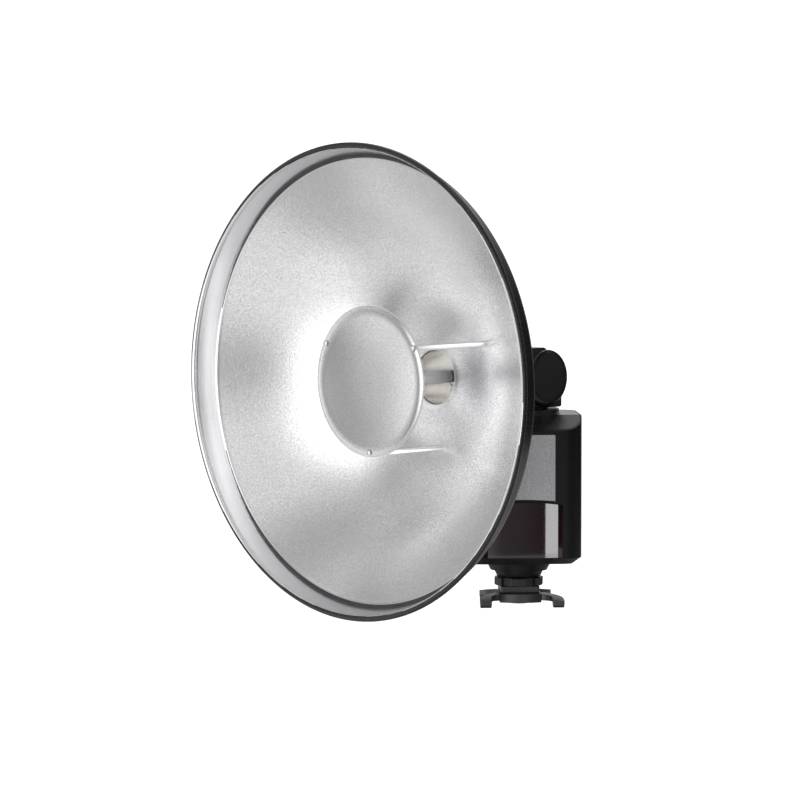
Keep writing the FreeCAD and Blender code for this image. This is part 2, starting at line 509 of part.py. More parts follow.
# outer form: barrel, shoulder and neck
barrel = lathe([(0, 22.0), (15.0, 22.0), (18.4, 23.5), (19.4, 26.5), (19.4, 48.8), (20.6, 50.4), (29.6, 55.6), (31.4, 57.2), (32.0, 58.8), (31.4, 60.0), (0, 60.0)])
neck_up = rbox(-22.0, 22.0, -28.0, 3.5, HINGE_Z - 12.4, HINGE_Z + 19.6, 4.0, "x")
neck_mid = rbox(-19.0, 19.0, -34.0, -20.0, HINGE_Z - 12.4, HINGE_Z + 19.0, 4.0, "y")
neck_box = rbox(-CHEEK_OUT, CHEEK_OUT, -24.0, 0.0, HINGE_Z - 12.4, HINGE_Z + CAP_R, 3.0, "z").common(box(-60, 60, -60, 0, 0, 300))
cheeks = scyl(-CHEEK_OUT, CHEEK_OUT, CAP_R)
def dome(sgn):
    # edge radius and shallow crown
    P = [(0, 0), (0, 18.25), (0.9, 17.95), (1.7, 17.0), (2.2, 15.4), (2.6, 11.0), (2.9, 5.5), (3.0, 0)]
    pts = [V(sgn * (CHEEK_OUT + a), 0, HINGE_Z + b) for a, b in P]
    spl = Part.BSplineCurve()
    spl.interpolate(pts[1:])
    w = Part.Wire([Part.LineSegment(pts[0], pts[1]).toShape(), spl.toShape(), Part.LineSegment(pts[-1], pts[0]).toShape()])
    return Part.Face(w).revolve(V(0, 0, HINGE_Z), V(1, 0, 0), 360)
form = fuse(barrel, neck_up, neck_mid, neck_box, cheeks, dome(1), dome(-1))
# ribs around the front of the barrel
for k in range(4):
    t = 36.5 + k * 2.9
    groove = hcyl(t, 40, 1.0).cut(hcyl(t - 1, 18.7, 4))
    form = form.cut(groove)
# slot for the tongue, open below and behind
slot = scyl(-CHEEK_IN, CHEEK_IN, 18.5)
slot = slot.fuse([box(-CHEEK_IN, CHEEK_IN, 3.0, 60, HINGE_Z - 60, HINGE_Z + 60)])
slot = slot.fuse([box(-CHEEK_IN, CHEEK_IN, -0.01, 60, HINGE_Z - 60, HINGE_Z + 60).common(box(-60, 60, -60, 60, 0, HINGE_Z))])
slot = slot.fuse([box(-CHEEK_IN, CHEEK_IN, -18.2, 60, HINGE_Z - 60, HINGE_Z)])
form = form.cut(slot)
form = form.cut(scyl(-22.1, 22.1, AXLE_R + RUN))
cavity = lathe([(0, 23.0), (13.0, 23.0), (17.2, 27.0), (17.2, 49.8), (26.6, 56.0), (27.0, 57.4), (0, 57.4)])
form = form.cut(cavity)
form = form.cut(hcyl(55, 18.5, 10))
top = form.common(box(-80, 80, -80, 40, HINGE_Z + 0.04, 300))
bottom = form.common(box(-80, 80, -80, 40, 60, HINGE_Z - 0.04))
# screws join the two halves from below
hscr = []
room = lathe([(0, 23.5), (18.3, 23.5), (18.3, 49.5), (0, 49.5)])
for sx in (-1, 1):
    for t in (28.5, 45.0):
        x = sx * 14.2
        post_b = cyl(x, -t, HINGE_Z - 13.0, 2.6, 12.96).common(room)
        post_t = cyl(x, -t, HINGE_Z + 0.04, 2.6, 14.0).common(room)
        bottom = fuse(bottom, post_b)
        top = fuse(top, post_t)
        bottom = bottom.cut(cyl(x, -t, HINGE_Z - 20, 2.0, 13.0)).cut(cyl(x, -t, HINGE_Z - 20, 1.0, 25))
        top = top.cut(cyl(x, -t, HINGE_Z - 5, 1.0, 14))
        hscr.append(fuse(cyl(x, -t, HINGE_Z - 8.8, 1.9, 1.7), cyl(x, -t, HINGE_Z - 7.2, 0.98, 14)))
parts["head_top_shell"] = to_head(big(top))
parts["head_bottom_shell"] = to_head(big(bottom))
parts["head_screws"] = to_head(comp(hscr))

# nose ring with three bayonet lugs
nose = hcyl(60.0, 28.6, 14.6).cut(hcyl(59, 18.4, 20))
lug = hcyl(66.2, 31.0, 2.8).cut(hcyl(60, 28.0, 20))
for a in (90, 210, 330):
    d = [math.radians(a + k) for k in (-11, 0, 11)]
    w = Part.makePolygon([V(0, -60, LA)] + [V(60 * math.cos(q), -60, LA + 60 * math.sin(q)) for q in d] + [V(0, -60, LA)])
    wedge = Part.Face(w).extrude(V(0, -20, 0))
    nose = nose.fuse([lug.common(wedge)])
nose = nose.removeSplitter()
ns = []
for a in (30, 150, 270):
    x, z = 23.4 * math.cos(math.radians(a)), LA + 23.4 * math.sin(math.radians(a))
    nose = nose.cut(Part.makeCylinder(2.2, 4, V(x, -72.6, z), V(0, -1, 0))).cut(Part.makeCylinder(1.0, 30, V(x, -55, z), V(0, -1, 0)))
    h = Part.makeCylinder(2.1, 1.6, V(x, -72.6, z), V(0, -1, 0)).cut(box(x - 1.4, x + 1.4, -80, -73.5, z - 0.28, z + 0.28)).cut(box(x - 0.28, x + 0.28, -80, -73.5, z - 1.4, z + 1.4))
    ns.append(fuse(h, Part.makeCylinder(0.98, 14.8, V(x, -58.0, z), V(0, -1, 0))))
    for nm in ("head_top_shell", "head_bottom_shell"):
        parts[nm] = parts[nm].cut(to_head(Part.makeCylinder(1.0, 6, V(x, -56, z), V(0, -1, 0))))
parts["nose_ring"] = to_head(big(nose))
parts["nose_screws"] = to_head(comp(ns))

# polished well around the lamp
well = lathe([(5.6, 55.6), (18.3, 55.6), (18.3, 75.6), (17.2, 75.6), (17.2, 56.6), (5.6, 56.6)])
well = well.cut(box(6.4, 9.6, -60, -50, LA + 4.0, LA + 8.6)).cut(box(-9.6, -6.4, -60, -50, LA - 8.6, LA - 4.0))
parts["lamp_well"] = to_head(well)
sock = fuse(hcyl(37.0, 10.4, 13.0), hcyl(49.5, 9.0, 6.1))
sock = sock.cut(hcyl(49.0, 3.9, 10))
for dx in (-2.0, 2.0):
    sock = sock.cut(hcyl(43.0, 0.65, 10, s=dx))
parts["lamp_socket"] = to_head(sock)
parts["trigger_coil"] = to_head(fuse(Part.makeCylinder(4.5, 17, V(-8.5, -30.5, LA + 1.5), V(1, 0, 0)),
                                     Part.makeCylinder(5.4, 1.6, V(-10.1, -30.5, LA + 1.5), V(1, 0, 0)),
                                     Part.makeCylinder(5.4, 1.6, V(8.5, -30.5, LA + 1.5), V(1, 0, 0))))

# plug-in flash tube
tb = hcyl(49.6, 3.75, 15.9).fuse([hcyl(44.2, 0.5, 6.0, s=dx) for dx in (-2.0, 2.0)]).removeSplitter()
parts["tube_base"] = to_head(tb)
parts["tube_band"] = to_head(hcyl(65.5, 4.0, 4.6).cut(hcyl(67.5, 3.2, 4)))
dome_p = [(4.2, 70.1), (4.2, 104.0), (3.9, 106.4), (3.0, 108.0), (1.6, 109.0), (0, 109.3), (0, 108.5), (1.4, 108.2), (2.5, 107.4), (3.2, 106.0), (3.45, 104.0), (3.45, 70.1)]
parts["tube_glass"] = to_head(lathe(dome_p))
# folded xenon tube: two legs joined by a bend
xr = 0.85
legs = []
u = Part.makeTorus(1.45, xr, V(0, -103.0, LA), V(0, 0, 1), 0, 360, 360).common(box(-5, 5, -110, -103.0, LA - 3, LA + 3))
legs.append(u)
for dx in (-1.45, 1.45):
    legs.append(Part.makeCylinder(xr, 35.4, V(dx, -67.6, LA), V(0, -1, 0)))
parts["xenon_tube"] = to_head(fuse(*legs))

# ================================================================ beauty dish
def dish_profile():
    D = RIM_T + 1.4
    inner = [(HOLE_R, D - 74.3), (30.0, D - 75.6), (45.0, D - 76.9), (57.0, D - 75.4), (71.5, D - 70.5), (88.0, D - 62.0),
             (104.0, D - 50.0), (118.6, D - 36.0), (130.0, D - 24.0), (139.2, D - 14.2)]
    return inner

inner = dish_profile()
def spline(pts):
    c = Part.BSplineCurve()
    c.interpolate([V(r, -t, LA) for r, t in pts])
    return c
cin = spline(inner)
# outer line: the inner one moved back by the sheet thickness
N = 14
outp = []
for k in range(N + 1):
    p = cin.FirstParameter + (cin.LastParameter - cin.FirstParameter) * k / N
    q = cin.value(p)
    tg = cin.tangent(p)[0]
    nrm = V(-tg.y, tg.x, 0)
    if nrm.y < 0:
        nrm = nrm * -1
    nrm.normalize()
    outp.append((q.x + nrm.x * SHELL, -(q.y + nrm.y * SHELL)))
outp[0] = (HOLE_R, inner[0][1] - SHELL)
cout = spline(outp)
D = RIM_T + 1.4
step_in = (142.2, D - 12.2)
step_out = outp[-1]
rim_in = (146.35, RIM_T - 0.6)
rim_out = (147.6, RIM_T - 1.95)
step_o2 = (143.4, D - 12.9)
VV = lambda p: V(p[0], -p[1], LA)
e = [cin.toShape(),
     Part.LineSegment(VV(inner[-1]), VV(step_in)).toShape(),
     Part.LineSegment(VV(step_in), VV(rim_in)).toShape(),
     # rolled bead, three quarters of a circle
     Part.Arc(VV(rim_in), VV((148.0, RIM_T + BEAD_R)), VV((150.0, RIM_T))).toShape(),
     Part.Arc(VV((150.0, RIM_T)), VV((148.0 + BEAD_R * math.sqrt(0.5), RIM_T - BEAD_R * math.sqrt(0.5))), VV(rim_out)).toShape(),
     Part.LineSegment(VV(rim_out), VV(step_o2)).toShape(),
     Part.LineSegment(VV(step_o2), VV(step_out)).toShape(),
     cout.toShape(),
     Part.LineSegment(VV(outp[0]), VV(inner[0])).toShape()]
dish = Part.Face(Part.Wire(Part.__sortEdges__(e))).revolve(V(0, 0, LA), V(0, 1, 0), 360)

def floor_t(r):
    """Inner surface height along the axis at radius r."""
    lo, hi = cin.FirstParameter, cin.LastParameter
    for _ in range(50):
        m = (lo + hi) / 2
        if cin.value(m).x < r:
            lo = m
        else:
            hi = m
    return -cin.value(lo).y

T_ROD = floor_t(ROD_PCR)
T_RIV = floor_t(31.5)
rod_a = (150.0, 30.0, 270.0)
def at(a, r):
    return r * math.cos(math.radians(a)), LA + r * math.sin(math.radians(a))
rods, dscr, bscr = [], [], []
for a in rod_a:
    x, z = at(a, ROD_PCR)
    dish = dish.cut(Part.makeCylinder(1.25, 10, V(x, -T_ROD + 5, z), V(0, -1, 0)))
    rods.append(Part.makeCylinder(ROD_R, DEFL_T - T_ROD - 0.9, V(x, -T_ROD - 0.05, z), V(0, -1, 0))
                .cut(Part.makeCylinder(1.2, 8, V(x, -T_ROD + 1, z), V(0, -1, 0)))
                .cut(Part.makeCylinder(1.2, 9, V(x, -DEFL_T + 8, z), V(0, -1, 0))))
    # pan-head screw in front of the deflector
    h = Part.makeSphere(2.55, V(x, -DEFL_T + 1.0, z)).common(Part.makeCylinder(2.2, 3, V(x, -DEFL_T - 0.3, z), V(0, -1, 0)))
    h = h.cut(box(x - 1.4, x + 1.4, -DEFL_T - 4, -DEFL_T - 1.0, z - 0.25, z + 0.25)).cut(box(x - 0.25, x + 0.25, -DEFL_T - 4, -DEFL_T - 1.0, z - 1.4, z + 1.4))
    dscr.append(fuse(h, Part.makeCylinder(1.15, 8.0, V(x, -DEFL_T + 7.6, z), V(0, -1, 0))))
    b = Part.makeCylinder(2.6, 1.6, V(x, -T_ROD + 2.85, z), V(0, -1, 0))
    bscr.append(fuse(b, Part.makeCylinder(1.15, 8.0, V(x, -T_ROD + 1.5, z), V(0, -1, 0))))
parts["deflector_rods"] = to_head(comp(rods))
parts["rod_screws"] = to_head(comp(bscr))
parts["deflector_screws"] = to_head(comp(dscr))

# shallow pressed deflector with a flat flange
th = 0.8
prof = [(0.0, DEFL_T - 3.4), (12.0, DEFL_T - 3.15), (24.0, DEFL_T - 2.35), (34.0, DEFL_T - 1.15), (39.5, DEFL_T - 0.3)]
c1 = spline(prof + [(42.0, DEFL_T)])
c2 = spline([(r, t - th) for r, t in prof] + [(42.0, DEFL_T - th)])
ed = [c1.toShape(), Part.LineSegment(VV((42.0, DEFL_T)), VV((DEFL_R - 0.3, DEFL_T))).toShape(),
      Part.LineSegment(VV((DEFL_R - 0.3, DEFL_T)), VV((DEFL_R, DEFL_T - 0.3))).toShape(),
      Part.LineSegment(VV((DEFL_R, DEFL_T - 0.3)), VV((DEFL_R, DEFL_T - th))).toShape(),
      Part.LineSegment(VV((DEFL_R, DEFL_T - th)), VV((42.0, DEFL_T - th))).toShape(),
      c2.toShape(), Part.LineSegment(VV((0, DEFL_T - 3.4)), VV((0, DEFL_T - 3.4 - th))).toShape()]
defl = Part.Face(Part.Wire(Part.__sortEdges__(ed))).revolve(V(0, 0, LA), V(0, 1, 0), 360)
for a in rod_a:
    x, z = at(a, ROD_PCR)
    defl = defl.cut(Part.makeCylinder(1.25, 10, V(x, -DEFL_T + 5, z), V(0, -1, 0)))
parts["deflector_plate"] = to_head(big(defl))

# mounting collar: bayonet sleeve behind the floor
BK = outp[0][1]                       # back of the sheet at the hole
TC1 = 73.9
sleeve = hcyl(61.0, 35.0, TC1 - 61.0).cut(hcyl(60, 28.9, 20))
flange_p = [(28.9, TC1 - 2.2), (40.5, TC1 - 2.2), (40.5, floor_t(40.5) - SHELL - 0.12), (35.0, floor_t(35.0) - SHELL - 0.12), (28.9, floor_t(28.9) - SHELL - 0.12)]
sleeve = fuse(sleeve, lathe(flange_p))
sleeve = sleeve.cut(hcyl(TC1 - 0.5, 28.9, 5))
# groove, stop and entry slots for the lugs
for a in (90, 210, 330):
    def wedge(a0, a1, t0, t1):
        n = 6
        q = [math.radians(a0 + (a1 - a0) * k / n) for k in range(n + 1)]
        w = Part.makePolygon([V(0, -t0, LA)] + [V(60 * math.cos(v), -t0, LA + 60 * math.sin(v)) for v in q] + [V(0, -t0, LA)])
        return Part.Face(w).extrude(V(0, -(t1 - t0), 0))
    sleeve = sleeve.cut(hcyl(65.9, 31.3, 3.4).common(wedge(a - 13, a + 55, 60, 80)))
    sleeve = sleeve.cut(hcyl(60.5, 31.3, 6.0).common(wedge(a + 27, a + 55, 60, 80)))
# grip ribs
for k in range(24):
    if k % 2 == 0:
        a = k * 15
        x, z = at(a + 7.5, 35.3)
        sleeve = sleeve.cut(Part.makeCylinder(1.1, 8.0, V(x, -61.0 + 0.5, z), V(0, -1, 0)))
parts["dish_collar"] = to_head(big(sleeve))
riv = []
for a in (30, 150, 270):
    x, z = at(a, 37.6)
    tt = floor_t(37.6)
    dish = dish.cut(Part.makeCylinder(1.3, 10, V(x, -tt + 5, z), V(0, -1, 0)))
    cc = parts["dish_collar"]
    parts["dish_collar"] = cc.cut(to_head(Part.makeCylinder(1.3, 12, V(x, -tt + 8, z), V(0, -1, 0))))
    # flush rivets, set from behind and just below the painted surface
    riv.append(fuse(Part.makeCylinder(1.25, tt - 0.1 - 71.0, V(x, -71.0, z), V(0, -1, 0)),
                    Part.makeCylinder(2.2, 0.8, V(x, -70.85, z), V(0, -1, 0))))
parts["collar_rivets"] = to_head(comp(riv))
parts["beauty_dish"] = to_head(big(dish))

parts["front_shell"] = front
parts["rear_shell"] = rear

# ================================================================ write
os.makedirs("parts", exist_ok=True)
for f in os.listdir("parts"):
    if f.endswith(".step"):
        os.remove(os.path.join("parts", f))
for name, s in parts.items():
    sol = s.Solids
    if len(sol) > 1 and name in ("front_shell", "rear_shell"):
        sol = [q for q in sol if q.Volume > 20.0]
        print("note", name, [round(q.Volume, 1) for q in s.Solids])
    out = sol[0] if len(sol) == 1 else Part.makeCompound(sol)
    bb = out.BoundBox
    print("%-20s solids %2d  vol %10.1f  valid %s  x %.1f..%.1f y %.1f..%.1f z %.1f..%.1f" % (
        name, len(sol), out.Volume, out.isValid(), bb.XMin, bb.XMax, bb.YMin, bb.YMax, bb.ZMin, bb.ZMax))
    out.exportStep(os.path.join("parts", name + ".step"))
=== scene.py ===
import json
import math

import bpy
import numpy as np
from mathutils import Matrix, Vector


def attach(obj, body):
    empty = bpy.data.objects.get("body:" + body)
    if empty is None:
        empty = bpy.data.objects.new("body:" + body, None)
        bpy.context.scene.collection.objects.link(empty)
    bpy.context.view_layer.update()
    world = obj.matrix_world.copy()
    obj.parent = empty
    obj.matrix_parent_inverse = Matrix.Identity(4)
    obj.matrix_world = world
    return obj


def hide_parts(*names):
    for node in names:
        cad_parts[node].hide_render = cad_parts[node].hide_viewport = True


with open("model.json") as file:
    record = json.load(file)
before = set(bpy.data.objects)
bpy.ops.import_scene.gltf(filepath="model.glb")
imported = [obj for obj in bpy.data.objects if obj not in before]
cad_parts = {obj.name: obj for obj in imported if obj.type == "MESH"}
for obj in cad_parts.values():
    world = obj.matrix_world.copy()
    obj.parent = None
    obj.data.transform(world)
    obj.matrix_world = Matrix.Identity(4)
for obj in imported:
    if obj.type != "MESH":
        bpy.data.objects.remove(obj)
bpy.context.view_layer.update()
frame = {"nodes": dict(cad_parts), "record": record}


NODES = frame["nodes"]
scene = bpy.context.scene

# ------------------------------------------------------------------ studio light levels
FLOOR_GLOW = .80
ROOM_BASE = .02
# broad soft lights round the table: azimuth from the front towards +X, elevation,
# inner and outer angle of the soft edge, level
ROOM = [(-40, 5, 8, 40, 2.0), (-40, 35, 5, 30, .3), (-30, -35, 8, 40, .7), (-10, -15, 5, 30, .2),
        (-100, 5, 8, 40, .4), (-100, 35, 5, 30, .3), (-100, -35, 5, 30, .4), (-110, -15, 5, 30, .4),
        (-60, 62, 3, 40, .4), (-60, -52, 3, 38, .2), (10, 35, 8, 40, .6), (180, 62, 3, 40, 1.0),
        (-128, 5, 5, 30, .6), (82, 5, 5, 30, .2), (165, 5, 5, 30, .9)]
# name, azimuth, elevation, distance, width, height, brightness
BOXES = [("fill_right", 16.9, -4, 2.0, .15, .60, 4.2), ("top", 60, 78, 1.7, .9, .9, .6),
         ("rear_right", 100, 30, 2.0, .5, .5, .8),
         ("rear_top", 176, 52, 2.0, 1.0, .6, 2.4)]

# ------------------------------------------------------------------ head frame
YAW = math.radians(48.7)
N = Vector((-math.sin(YAW), -math.cos(YAW), 0.0))      # the way the dish faces
E = Vector((math.cos(YAW), -math.sin(YAW), 0.0))       # along the tilt hinge
U = Vector((0.0, 0.0, 1.0))
LA = 0.1504                                            # lamp axis height


def hp(r, t, a):
    """Point at radius r and angle a about the lamp axis, t along it (mm, radians)."""
    return (N * t + (E * math.cos(a) + U * math.sin(a)) * r) * 0.001 + U * LA


# ------------------------------------------------------------------ material nodes
def mat(name):
    m = bpy.data.materials.new(name)
    m.use_nodes = True
    nt = m.node_tree
    b = nt.nodes["Principled BSDF"]
    return m, nt, b


def new(nt, kind, **kw):
    n = nt.nodes.new(kind)
    for k, v in kw.items():
        setattr(n, k, v)
    return n


def coords(nt):
    return new(nt, "ShaderNodeTexCoord").outputs["Object"]


def noise(nt, vec, scale, detail=3.0, rough=0.5, stretch=None):
    if stretch is not None:
        mp = new(nt, "ShaderNodeMapping")
        mp.inputs["Scale"].default_value = stretch
        nt.links.new(vec, mp.inputs["Vector"])
        vec = mp.outputs["Vector"]
    t = new(nt, "ShaderNodeTexNoise")
    t.inputs["Scale"].default_value = scale
    t.inputs["Detail"].default_value = detail
    t.inputs["Roughness"].default_value = rough
    nt.links.new(vec, t.inputs["Vector"])
    return t.outputs["Fac"]


def ramp(nt, fac, lo, hi, a, b):
    r = new(nt, "ShaderNodeMapRange")
    r.clamp = True
    r.inputs["From Min"].default_value = lo
    r.inputs["From Max"].default_value = hi
    r.inputs["To Min"].default_value = a
    r.inputs["To Max"].default_value = b
    nt.links.new(fac, r.inputs["Value"])
    return r.outputs["Result"]


def mixc(nt, fac, a, b):
    m = new(nt, "ShaderNodeMix", data_type="RGBA")
    nt.links.new(fac, m.inputs[0])
    for i, c in ((6, a), (7, b)):
        if isinstance(c, (tuple, list)):
            m.inputs[i].default_value = (c[0], c[1], c[2], 1.0)
        else:
            nt.links.new(c, m.inputs[i])
    return m.outputs[2]


def bump(nt, b, height, dist, strength, chain=None):
    n = new(nt, "ShaderNodeBump")
    n.inputs["Strength"].default_value = strength
    n.inputs["Distance"].default_value = dist
    nt.links.new(height, n.inputs["Height"])
    if chain is not None:
        nt.links.new(chain, n.inputs["Normal"])
    nt.links.new(n.outputs["Normal"], b.inputs["Normal"])
    return n.outputs["Normal"]


def finish_mat(name, c0, c1, rough, metal=0.0, rvar=0.06, grain=1500.0, dist=0.00004, strength=0.35,
               blotch=90.0, stretch=None, coat=0.0, coat_rough=0.1, spec=0.5):
    """A moulded, cast or machined finish: mottled colour, uneven roughness and a grain."""
    m, nt, b = mat(name)
    v = coords(nt)
    big = noise(nt, v, blotch, 3.0, 0.55)
    fine = noise(nt, v, grain, 2.0, 0.5, stretch)
    nt.links.new(mixc(nt, ramp(nt, big, 0.3, 0.7, 0, 1), c0, c1), b.inputs["Base Color"])
    nt.links.new(ramp(nt, fine, 0.3, 0.7, max(0.02, rough - rvar), min(1.0, rough + rvar)), b.inputs["Roughness"])
    b.inputs["Metallic"].default_value = metal
    b.inputs["Specular IOR Level"].default_value = spec
    if coat > 0:
        b.inputs["Coat Weight"].default_value = coat
        b.inputs["Coat Roughness"].default_value = coat_rough
    bump(nt, b, fine, dist, strength)
    return m


M = {}
M["stand_plastic"] = finish_mat("stand_plastic", (.026, .026, .028), (.038, .038, .040), .34, grain=1900, dist=.00002, strength=.25, spec=.7)
M["body_plastic"] = finish_mat("body_plastic", (.0070, .0070, .0078), (.0105, .0105, .0115), .40, grain=2300, dist=.00003, strength=.35, spec=.24)
M["head_plastic"] = finish_mat("head_plastic", (.0075, .0075, .0083), (.011, .011, .012), .24, grain=2300, dist=.00002, strength=.2, spec=.55)
M["cap_gloss"] = finish_mat("cap_gloss", (.009, .009, .0098), (.013, .013, .014), .30, grain=1800, dist=.00002, strength=.20)
M["ring_plastic"] = finish_mat("ring_plastic", (.016, .016, .018), (.024, .024, .026), .36, grain=2000, dist=.00002, strength=.25)
M["dial_plastic"] = finish_mat("dial_plastic", (.018, .018, .020), (.028, .028, .030), .40, grain=2200, dist=.00002, strength=.25)
M["socket_plastic"] = finish_mat("socket_plastic", (.016, .016, .017), (.022, .022, .023), .30, grain=1800, dist=.00002, strength=.2)
M["soft_rubber"] = finish_mat("soft_rubber", (.018, .018, .019), (.030, .030, .031), .72, grain=2600, dist=.00005, strength=.45, spec=.3)
M["key_rubber"] = finish_mat("key_rubber", (.030, .030, .032), (.044, .044, .047), .55, grain=2600, dist=.00003, strength=.3)
M["foot_metal"] = finish_mat("foot_metal", (.52, .52, .53), (.62, .62, .63), .32, metal=1.0, grain=900, stretch=(1, 14, 1), dist=.00001, strength=.25)
M["bright_steel"] = finish_mat("bright_steel", (.58, .58, .59), (.66, .66, .67), .22, metal=1.0, grain=1400, stretch=(1, 1, 10), dist=.00001, strength=.2)
M["black_steel"] = finish_mat("black_steel", (.035, .035, .037), (.060, .060, .062), .34, metal=.9, grain=2200, dist=.00001, strength=.25)
M["socket_metal"] = finish_mat("socket_metal", (.56, .56, .57), (.64, .64, .65), .25, metal=1.0, grain=1500, dist=.00001, strength=.2)
M["rivet_steel"] = finish_mat("rivet_steel", (.55, .55, .56), (.66, .66, .67), .28, metal=1.0, grain=1500, dist=.00001, strength=.2)
M["brass_insert"] = finish_mat("brass_insert", (.62, .44, .18), (.74, .56, .27), .30, metal=1.0, grain=1200, dist=.00001, strength=.25)
M["brass_contacts"] = finish_mat("brass_contacts", (.76, .56, .24), (.84, .66, .34), .22, metal=1.0, grain=1500, dist=.00001, strength=.2)
M["nose_metal"] = finish_mat("nose_metal", (.050, .050, .053), (.080, .080, .084), .35, metal=.85, grain=1500, dist=.00001, strength=.25)
M["collar_black"] = finish_mat("collar_black", (.016, .016, .018), (.024, .024, .026), .40, metal=.1, grain=1300, dist=.00003, strength=.3)
M["well_mirror"] = finish_mat("well_mirror", (.93, .915, .885), (.95, .935, .905), .24, metal=1.0, rvar=.015, grain=300, dist=.000004, strength=.05, blotch=30)
M["socket_ceramic"] = finish_mat("socket_ceramic", (.66, .62, .55), (.78, .75, .68), .60, grain=1800, dist=.00003, strength=.35)
M["base_ceramic"] = finish_mat("base_ceramic", (.13, .085, .065), (.20, .13, .10), .45, grain=1600, dist=.00003, strength=.3)
M["band_metal"] = finish_mat("band_metal", (.56, .58, .68), (.68, .70, .78), .30, metal=1.0, grain=1200, dist=.00001, strength=.2)
M["rod_chrome"] = finish_mat("rod_chrome", (.84, .84, .85), (.92, .92, .92), .10, metal=1.0, rvar=.03, grain=900, dist=.000005, strength=.15)
M["screw_chrome"] = finish_mat("screw_chrome", (.74, .74, .75), (.86, .86, .87), .16, metal=1.0, rvar=.04, grain=1500, dist=.000005, strength=.2)
M["capacitor_sleeve"] = finish_mat("capacitor_sleeve", (.030, .035, .085), (.045, .055, .12), .35, grain=700, dist=.00002, strength=.2)
M["board_green"] = finish_mat("board_green", (.012, .085, .035), (.022, .12, .055), .38, grain=900, dist=.00003, strength=.3)
M["ferrite_core"] = finish_mat("ferrite_core", (.045, .043, .040), (.075, .070, .066), .62, grain=1700, dist=.00005, strength=.4)
M["lamp_lens"] = finish_mat("lamp_lens", (.20, .018, .018), (.32, .035, .03), .22, grain=900, dist=.00002, strength=.2)
M["lcd_display"] = finish_mat("lcd_display", (.25, .31, .28), (.29, .35, .31), .35, grain=2600, dist=.00001, strength=.1)


def gloss_cover(name, c0, c1, rough, coat):
    m, nt, b = mat(name)
    v = coords(nt)
    big = noise(nt, v, 60.0, 2.0, .5)
    ripple = noise(nt, v, 55.0, 1.0, .4)
    nt.links.new(mixc(nt, ramp(nt, big, .35, .65, 0, 1), c0, c1), b.inputs["Base Color"])
    nt.links.new(ramp(nt, noise(nt, v, 700.0), .3, .7, rough * .6, rough * 1.5), b.inputs["Roughness"])
    b.inputs["Specular IOR Level"].default_value = .35
    b.inputs["Coat Weight"].default_value = coat
    b.inputs["Coat Roughness"].default_value = 0.03
    b.inputs["Coat IOR"].default_value = 1.75
    bump(nt, b, ripple, .0002, .05)
    return m


M["window_red"] = gloss_cover("window_red", (.013, .0016, .0040), (.026, .0030, .0070), .05, 1.0)
M["lcd_cover"] = gloss_cover("lcd_cover", (.012, .014, .016), (.018, .020, .023), .05, .5)


def glass(name, tint, rough, through=1.0):
    m, nt, b = mat(name)
    v = coords(nt)
    nt.links.new(mixc(nt, noise(nt, v, 200.0, 1.0), tint, tuple(min(1.0, c * 1.02) for c in tint)), b.inputs["Base Color"])
    nt.links.new(ramp(nt, noise(nt, v, 900.0), .3, .7, rough * .5, rough * 1.5), b.inputs["Roughness"])
    b.inputs["Transmission Weight"].default_value = through
    b.inputs["IOR"].default_value = 1.46
    return m


M["lamp_glass"] = glass("lamp_glass", (.95, .96, .985), .08, .30)
M["xenon_quartz"] = glass("xenon_quartz", (.93, .93, .95), .30, .55)


# the panel under the lid: a grained, lightly brushed grey plate
def badge():
    m, nt, b = mat("badge_metal")
    v = coords(nt)
    grain = noise(nt, v, 1500.0, 4.0, .62)
    cloud = noise(nt, v, 45.0, 2.0, .5)
    c = mixc(nt, ramp(nt, cloud, .3, .7, 0, 1), (.56, .563, .575), (.68, .684, .695))
    c2 = mixc(nt, ramp(nt, grain, .38, .62, 0, 1), (.38, .383, .395), c)
    nt.links.new(c2, b.inputs["Base Color"])
    nt.links.new(ramp(nt, grain, .3, .7, .34, .52), b.inputs["Roughness"])
    b.inputs["Metallic"].default_value = .75
    bump(nt, b, grain, .00006, .5)
    return m


M["badge_metal"] = badge()


# ------------------------------------------------------------------ silver finishes
def silver(name, base, rough, coarse, fine, dist, strength, metal=.96, blotch=26.0, dark=.86):
    """Sprayed or blasted silver: a sparkling grain on a slightly cloudy base."""
    m, nt, b = mat(name)
    v = coords(nt)
    cloud = noise(nt, v, blotch, 3.0, .55)
    g1 = noise(nt, v, coarse, 2.0, .6)
    g2 = noise(nt, v, fine, 1.0, .5)
    add = new(nt, "ShaderNodeMath", operation="ADD")
    nt.links.new(g1, add.inputs[0])
    nt.links.new(g2, add.inputs[1])
    lo = tuple(c * dark for c in base)
    col = mixc(nt, ramp(nt, cloud, .34, .66, 0, 1), tuple(c * .955 for c in base), base)
    col = mixc(nt, ramp(nt, g1, .34, .60, 0, 1), lo, col)
    nt.links.new(col, b.inputs["Base Color"])
    nt.links.new(ramp(nt, g1, .3, .7, rough + .06, rough - .05), b.inputs["Roughness"])
    b.inputs["Metallic"].default_value = metal
    bump(nt, b, add.outputs[0], dist, strength)
    return m


